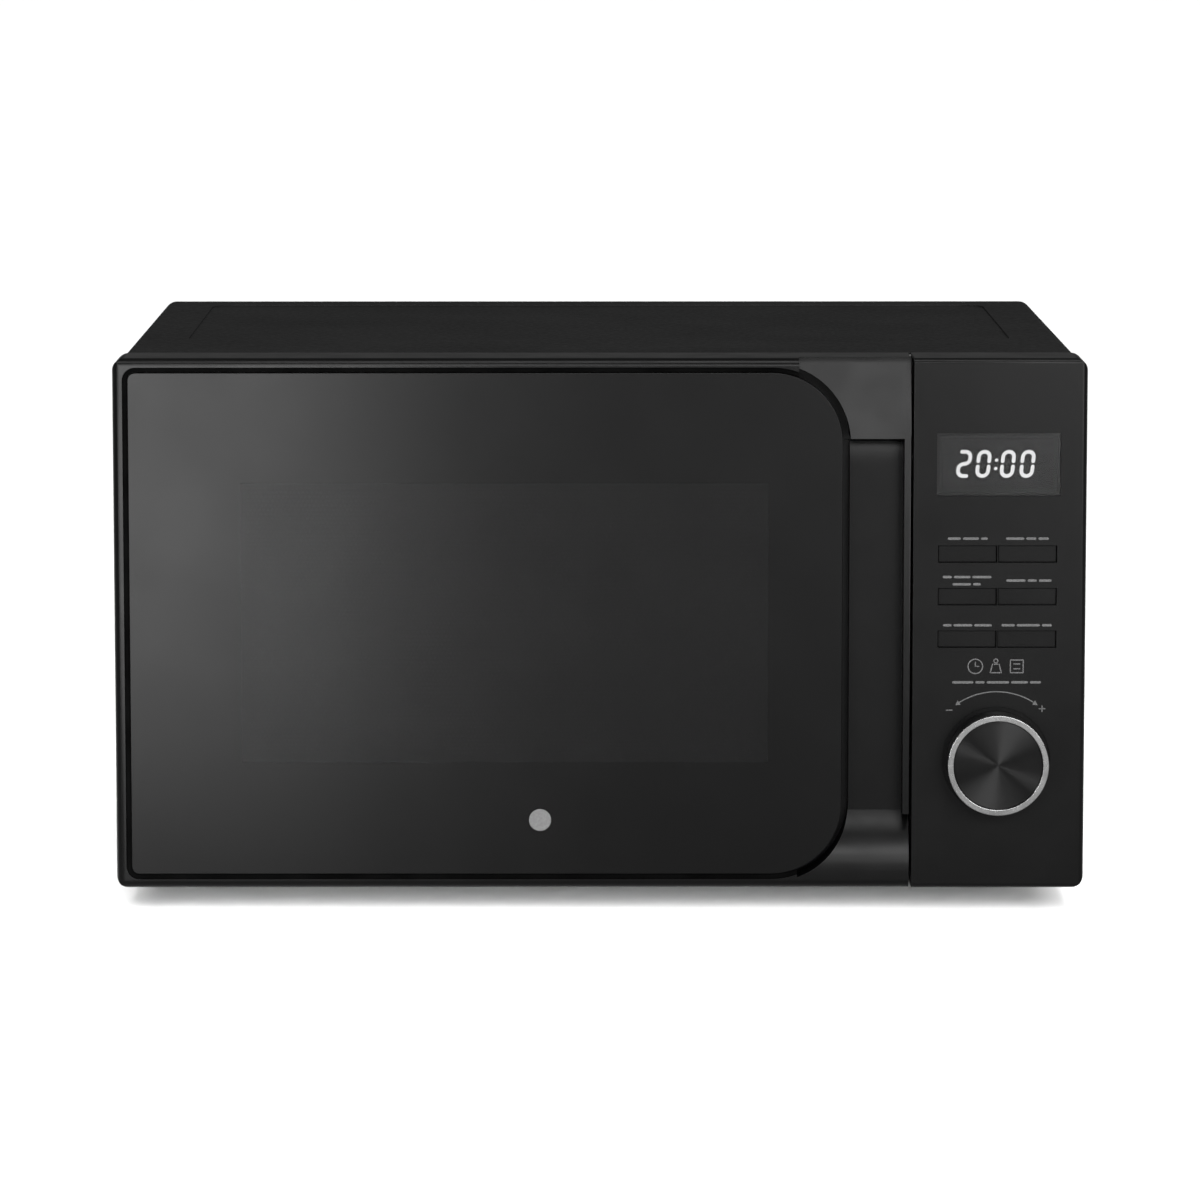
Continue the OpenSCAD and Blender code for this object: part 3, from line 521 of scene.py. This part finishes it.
# The edge radius of each node that is seen from outside, in millimetres.
FINISHED_EDGES = {
    "door_frame": 0.4,
    "door_glass": 0.35,
    "control_panel": 0.4,
    "outer_casing": 0.25,
    "display_window": 0.25,
    "dial_knob": 0.35,
    "dial_ring": 0.4,
    "feet": 0.6,
    "back_panel": 0.2,
    "front_plate": 0.2,
    "door_choke_cover": 0.4,
    "cord_gland": 0.5,
    "casing_screws": 0.2,
}
KEYS = [name for name in frame["nodes"] if name.startswith("key_")]
FINISHED_EDGES.update({key: 0.3 for key in KEYS})

PIECES = {name: finished(name, radius) for name, radius in FINISHED_EDGES.items()}
# The groove round the glass gets its painted shade.
paint_groove_shade(PIECES["door_frame"])

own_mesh(finished("latch_spring", 0.05))


# ---------------------------------------------------------------- printed and lit marks


def arc(centre_x, centre_z, radius, start, end, steps=12):
    """Points along an arc, its angles in degrees from the right, anticlockwise."""
    turns = (math.radians(start + (end - start) * i / steps) for i in range(steps + 1))
    return [(centre_x + radius * math.cos(t), centre_z + radius * math.sin(t)) for t in turns]


def directions(points, closed):
    """The unit direction of the line through each point."""
    found = []
    for i in range(len(points)):
        before = points[i - 1] if i or closed else points[i]
        after = points[(i + 1) % len(points)] if i + 1 < len(points) or closed else points[i]
        run, rise = after[0] - before[0], after[1] - before[1]
        length = math.hypot(run, rise)
        found.append((run / length, rise / length))
    return found


def outline(points, width):
    """The edge of a line of that width with round ends, as one ring of points."""
    half = width / 2
    along = directions(points, closed=False)
    sides = {}
    for side in (1, -1):
        sides[side] = [(x - side * half * v, z + side * half * u) for (x, z), (u, v) in zip(points, along)]
    ends = []
    for (x, z), (u, v), sign in ((points[-1], along[-1], 1), (points[0], along[0], -1)):
        heading = math.degrees(math.atan2(sign * v, sign * u))
        ends.append(arc(x, z, half, heading + 90, heading - 90, 6)[1:-1])
    return sides[1] + ends[0] + sides[-1][::-1] + ends[1]


class Artwork:
    """Flat marks drawn in millimetres on an upright face, then given a print's thickness."""

    def __init__(self, face_y, slant=0.0):
        self.work = bmesh.new()
        self.face_y = face_y
        self.slant = slant

    def corner(self, point, foot):
        x, z = point
        return self.work.verts.new(((x + self.slant * (z - foot)) * MM, self.face_y, z * MM))

    def line(self, points, width, foot=0.0):
        """A ribbon of quads along the points, with a round cap at either end."""
        ring = outline(points, width)
        count = len(points)
        cap = (len(ring) - 2 * count) // 2
        corners = [self.corner(p, foot) for p in ring]
        left = corners[:count]
        end_cap = corners[count : count + cap]
        right = corners[count + cap : 2 * count + cap][::-1]
        start_cap = corners[2 * count + cap :]
        for i in range(count - 1):
            self.work.faces.new((left[i], left[i + 1], right[i + 1], right[i]))
        self.work.faces.new([left[-1], *end_cap, right[-1]])
        self.work.faces.new([right[0], *start_cap, left[0]])

    def ring(self, x, z, radius, width, steps=40):
        """A round band."""
        inner = [self.corner(p, 0.0) for p in arc(x, z, radius - width / 2, 0, 360, steps)[:-1]]
        outer = [self.corner(p, 0.0) for p in arc(x, z, radius + width / 2, 0, 360, steps)[:-1]]
        for i in range(steps):
            j = (i + 1) % steps
            self.work.faces.new((inner[i], inner[j], outer[j], outer[i]))

    def area(self, points):
        self.work.faces.new([self.corner(p, 0.0) for p in points])

    def piece(self, name, body, material, slot):
        faces = self.work.faces[:]
        bmesh.ops.recalc_face_normals(self.work, faces=faces)
        grown = bmesh.ops.extrude_face_region(self.work, geom=faces, use_keep_orig=True)
        top = [item for item in grown["geom"] if isinstance(item, bmesh.types.BMVert)]
        bmesh.ops.translate(self.work, verts=top, vec=(0, -PRINT_DEPTH, 0))
        bmesh.ops.recalc_face_normals(self.work, faces=self.work.faces)
        mesh = bpy.data.meshes.new(name)
        self.work.to_mesh(mesh)
        self.work.free()
        mesh.materials.append(material)
        made = bpy.data.objects.new(name, mesh)
        bpy.context.scene.collection.objects.link(made)
        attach(made, body)
        return made


def words(art, start, end, z, count):
    """A stand-in for a caption: a row of plain bars of uneven length."""
    height = 1.1
    gap = 0.9
    shares = [1.0 + 0.45 * math.sin(2.3 * i + start) for i in range(count)]
    room = end - start - gap * (count - 1)
    x = start
    for share in shares:
        length = room * share / sum(shares)
        art.line([(x + height / 2, z), (x + length - height / 2, z)], height)
        x += length + gap


# Width of a fine printed line, in millimetres.
LINE = 0.5


def captions():
    """One caption over each key, in two lines over the third, and the one over the dial."""
    art = Artwork(FRONT_Y)
    upper_row, lower_row, over_dial = 174.2, 134.7, 108.6
    middle_row = 155.1
    first_line, second_line = middle_row + 1.6, middle_row - 1.7
    words(art, 157.2, 175.3, upper_row, 3)
    words(art, 183.5, 202.9, upper_row, 3)
    words(art, 155.0, 177.1, first_line, 3)
    words(art, 159.5, 172.3, second_line, 2)
    words(art, 183.8, 204.3, middle_row, 3)
    words(art, 155.3, 177.4, lower_row, 3)
    words(art, 181.8, 204.6, lower_row, 3)
    words(art, 159.6, 200.0, over_dial, 5)
    art.piece("panel_captions", "chassis", PANEL_PRINT.material, "badge_print")


def dial_scale():
    """The curved double arrow over the dial, with a minus and a plus."""
    art = Artwork(FRONT_Y)
    x, z, radius = DIAL_X / MM, DIAL_Z / MM, 31.4
    barb, point, heel = 1.2, 1.5, 2.4
    art.line(arc(x, z, radius, 122, 58, 30), LINE)
    for angle, turn in ((125.0, 1), (55.0, -1)):
        tip = arc(x, z, radius, angle + turn * point, angle, 1)[0]
        foot_out = arc(x, z, radius + barb, angle - turn * heel, angle, 1)[0]
        foot_in = arc(x, z, radius - barb, angle - turn * heel, angle, 1)[0]
        art.area([tip, foot_out, foot_in])
    sign = 1.3
    (minus_x, minus_z), (plus_x, plus_z) = arc(x, z, radius, 133, 48.7, 1)
    art.line([(minus_x - sign, minus_z), (minus_x + sign, minus_z)], LINE)
    art.line([(plus_x - sign, plus_z), (plus_x + sign, plus_z)], LINE)
    for way in (1, -1):
        art.line([(plus_x, plus_z + way * LINE), (plus_x, plus_z + way * sign)], LINE * 0.98)
    art.piece("dial_scale", "chassis", PANEL_PRINT.material, "badge_print")


def clock(art, x, z):
    """A round face with its two hands."""
    art.ring(x, z, 3.3, LINE)
    art.line([(x, z + 1.9), (x, z)], LINE)
    art.line([(x + 0.7, z), (x + 1.6, z)], LINE)


def weight(art, x, z):
    """A scale weight: a ring handle over a body with leaning sides."""
    foot, shoulder = z - 2.9, z + 1.0
    art.ring(x, z + 2.5, 0.9, LINE, 24)
    for way in (-1, 1):
        art.line([(x + way * 1.5, shoulder), (x + way * 2.5, foot)], LINE)
    art.line([(x - 0.8, shoulder), (x + 0.8, shoulder)], LINE)
    art.line([(x - 1.8, foot), (x + 1.8, foot)], LINE)


def menu_tile(art, x, z):
    """A square with two lines in it."""
    half = 2.9
    for way in (1, -1):
        art.line([(x - half, z + way * half), (x + half, z + way * half)], LINE)
        art.line([(x + way * half, z - half + LINE), (x + way * half, z + half - LINE)], LINE)
        art.line([(x - 1.4, z + way * 1.1), (x + 1.4, z + way * 1.1)], LINE)


def pictograms():
    """A clock, a weight and a menu tile, all plain."""
    art = Artwork(FRONT_Y)
    z = 115.9
    clock(art, 170.1, z)
    weight(art, 179.4, z)
    menu_tile(art, 188.9, z)
    art.piece("panel_pictograms", "chassis", PANEL_PRINT.material, "badge_print")


# One digit of the clock, in millimetres, measured along the middle of its strokes.
DIGIT_WIDTH = 4.9
DIGIT_HEIGHT = 11.0
DIGIT_CORNER = 2.4
DIGIT_STROKE = 1.65
DIGIT_GAP = 0.35 + DIGIT_STROKE / 2


def zero(art, x, foot):
    """Two facing cups, as the six lit segments of a nought."""
    w, r, middle = DIGIT_WIDTH, DIGIT_CORNER, foot + DIGIT_HEIGHT / 2
    for way in (1, -1):
        height = DIGIT_HEIGHT / 2 - r
        bend_left = [(px, middle + way * pz) for px, pz in arc(x + r, height, r, 180, 90, 8)]
        bend_right = [(px, middle + way * pz) for px, pz in arc(x + w - r, height, r, 90, 0, 8)]
        end = middle + way * DIGIT_GAP
        art.line([(x, end), *bend_left, *bend_right, (x + w, end)], DIGIT_STROKE, foot)


def two(art, x, foot):
    """The five lit segments of a two, in one bent line."""
    w, h, r = DIGIT_WIDTH, DIGIT_HEIGHT, DIGIT_CORNER
    points = [(x + 0.9, foot + h)]
    points += arc(x + w - r, foot + h - r, r, 90, 0, 8)
    points += arc(x + w - r, foot + h / 2 + r, r, 0, -90, 8)
    points += arc(x + r, foot + h / 2 - r, r, 90, 180, 8)
    points += arc(x + r, foot + r, r, 180, 270, 8)
    points += [(x + w - 0.9, foot)]
    art.line(points, DIGIT_STROKE, foot)


def clock_digits():
    """The lit time, leaning a little, on the display behind the smoked lens."""
    art = Artwork(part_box("display_module")[0].y, slant=0.1)
    foot = 202.3
    colon_x, dot, dot_length = 178.5, 1.5, 0.1
    two(art, 161.6, foot)
    for x in (170.3, 181.3, 190.2):
        zero(art, x, foot)
    for z in (foot + 3.4, foot + 7.2):
        art.line([(colon_x - dot_length / 2, z), (colon_x + dot_length / 2, z)], dot, foot)
    art.piece("clock_digits", "chassis", DISPLAY_GLOW.material, "badge_print")


captions()
dial_scale()
pictograms()
clock_digits()


# ---------------------------------------------------------------- stage, light and camera


def studio():
    """A pale floor, and a surround that is white to the camera and dim to all else."""
    ambient_low, ambient_high = 0.1, 0.55
    bpy.ops.mesh.primitive_plane_add(size=60.0, location=(0, 0, -0.5 * MM))
    floor = bpy.context.object
    floor.name = "studio_floor"
    finish = Finish("studio_floor", grey(0.82), 0.9, specular=0.1)
    finish.mottle(finish.noise(900, 1), grey(0.81), grey(0.83))
    floor.data.materials.append(finish.material)

    world = bpy.data.worlds.new("studio")
    bpy.context.scene.world = world
    world.use_nodes = True
    nodes, links = world.node_tree.nodes, world.node_tree.links
    ambient = nodes["Background"]
    ambient.inputs["Color"].default_value = (1, 1, 1, 1)
    direction = nodes.new("ShaderNodeTexCoord")
    height = nodes.new("ShaderNodeSeparateXYZ")
    brighter_above = nodes.new("ShaderNodeMapRange")
    brighter_above.inputs["To Min"].default_value = ambient_low
    brighter_above.inputs["To Max"].default_value = ambient_high
    links.new(direction.outputs["Generated"], height.inputs["Vector"])
    links.new(height.outputs["Z"], brighter_above.inputs["Value"])
    links.new(brighter_above.outputs["Result"], ambient.inputs["Strength"])
    seen = nodes.new("ShaderNodeBackground")
    seen.inputs["Strength"].default_value = 1.0
    path = nodes.new("ShaderNodeLightPath")
    mix = nodes.new("ShaderNodeMixShader")
    links.new(path.outputs["Is Camera Ray"], mix.inputs["Fac"])
    links.new(ambient.outputs["Background"], mix.inputs[1])
    links.new(seen.outputs["Background"], mix.inputs[2])
    links.new(mix.outputs["Shader"], nodes["World Output"].inputs["Surface"])


def daylight():
    """Broad even light from above the camera, which keeps the floor pale all over."""
    light = bpy.data.lights.new("daylight", "SUN")
    light.energy = 3.0
    light.angle = math.radians(22)
    lamp = bpy.data.objects.new("daylight", light)
    lamp.rotation_euler = (math.radians(25), 0, math.radians(8))
    bpy.context.scene.collection.objects.link(lamp)


def softbox(name, place, aim, width, height, radiance, spread=180):
    """A soft rectangular light whose face has the given radiance along its axis."""
    light = bpy.data.lights.new(name, "AREA")
    light.shape = "RECTANGLE"
    light.size = width
    light.size_y = height
    light.spread = math.radians(spread)
    light.energy = radiance * math.pi * width * height
    if spread < 180:
        half = light.spread / 2
        light.energy *= 1 - half / math.tan(half)
    lamp = bpy.data.objects.new(name, light)
    lamp.location = place
    lamp.rotation_euler = (Vector(aim) - Vector(place)).to_track_quat("-Z", "Y").to_euler()
    lamp.visible_camera = False
    bpy.context.scene.collection.objects.link(lamp)


def camera():
    """Straight on to the front, a little above it, with a long lens."""
    aim = Vector((0, FRONT_Y, 0.1463))
    distance = 2.73
    pitch = math.radians(7.33)
    yaw = math.radians(0.19)
    back = Vector((-math.sin(yaw) * math.cos(pitch), -math.cos(yaw) * math.cos(pitch), math.sin(pitch)))
    lens = bpy.data.cameras.new("front_view")
    lens.sensor_width = 36.0
    lens.lens = 181.0
    lens.clip_end = 100.0
    made = bpy.data.objects.new("front_view", lens)
    made.location = aim + back * distance
    made.rotation_euler = (-back).to_track_quat("-Z", "Y").to_euler()
    bpy.context.scene.collection.objects.link(made)
    bpy.context.scene.camera = made


studio()
daylight()
# Each light's place, aim, width, height and radiance. The left one makes the glow on the door
# glass, and the last one the two bright cones on the dial.
softbox("left_softbox", (-0.275, -0.7, 0.16), (-0.235, 0, 0.1), 0.26, 0.42, 56.0, spread=75)
softbox("front_softbox", (0.2, -3.4, 1.35), (0, 0, 0.2), 1.6, 0.7, 15.5)
softbox("floor_softbox", (0.2, -2.8, 1.0), (0.2, -2.7, 0), 2.2, 1.2, 20.0)
softbox("right_softbox", (0.6, -1.3, 0.45), (0.4, 0, 0.35), 0.6, 0.56, 30.0)
softbox("dial_softbox", (-0.5, -1.2, 0.25), (DIAL_X, FRONT_Y, DIAL_Z), 0.3, 0.3, 85.0, spread=30)
camera()
bpy.context.scene.view_settings.view_transform = "Standard"
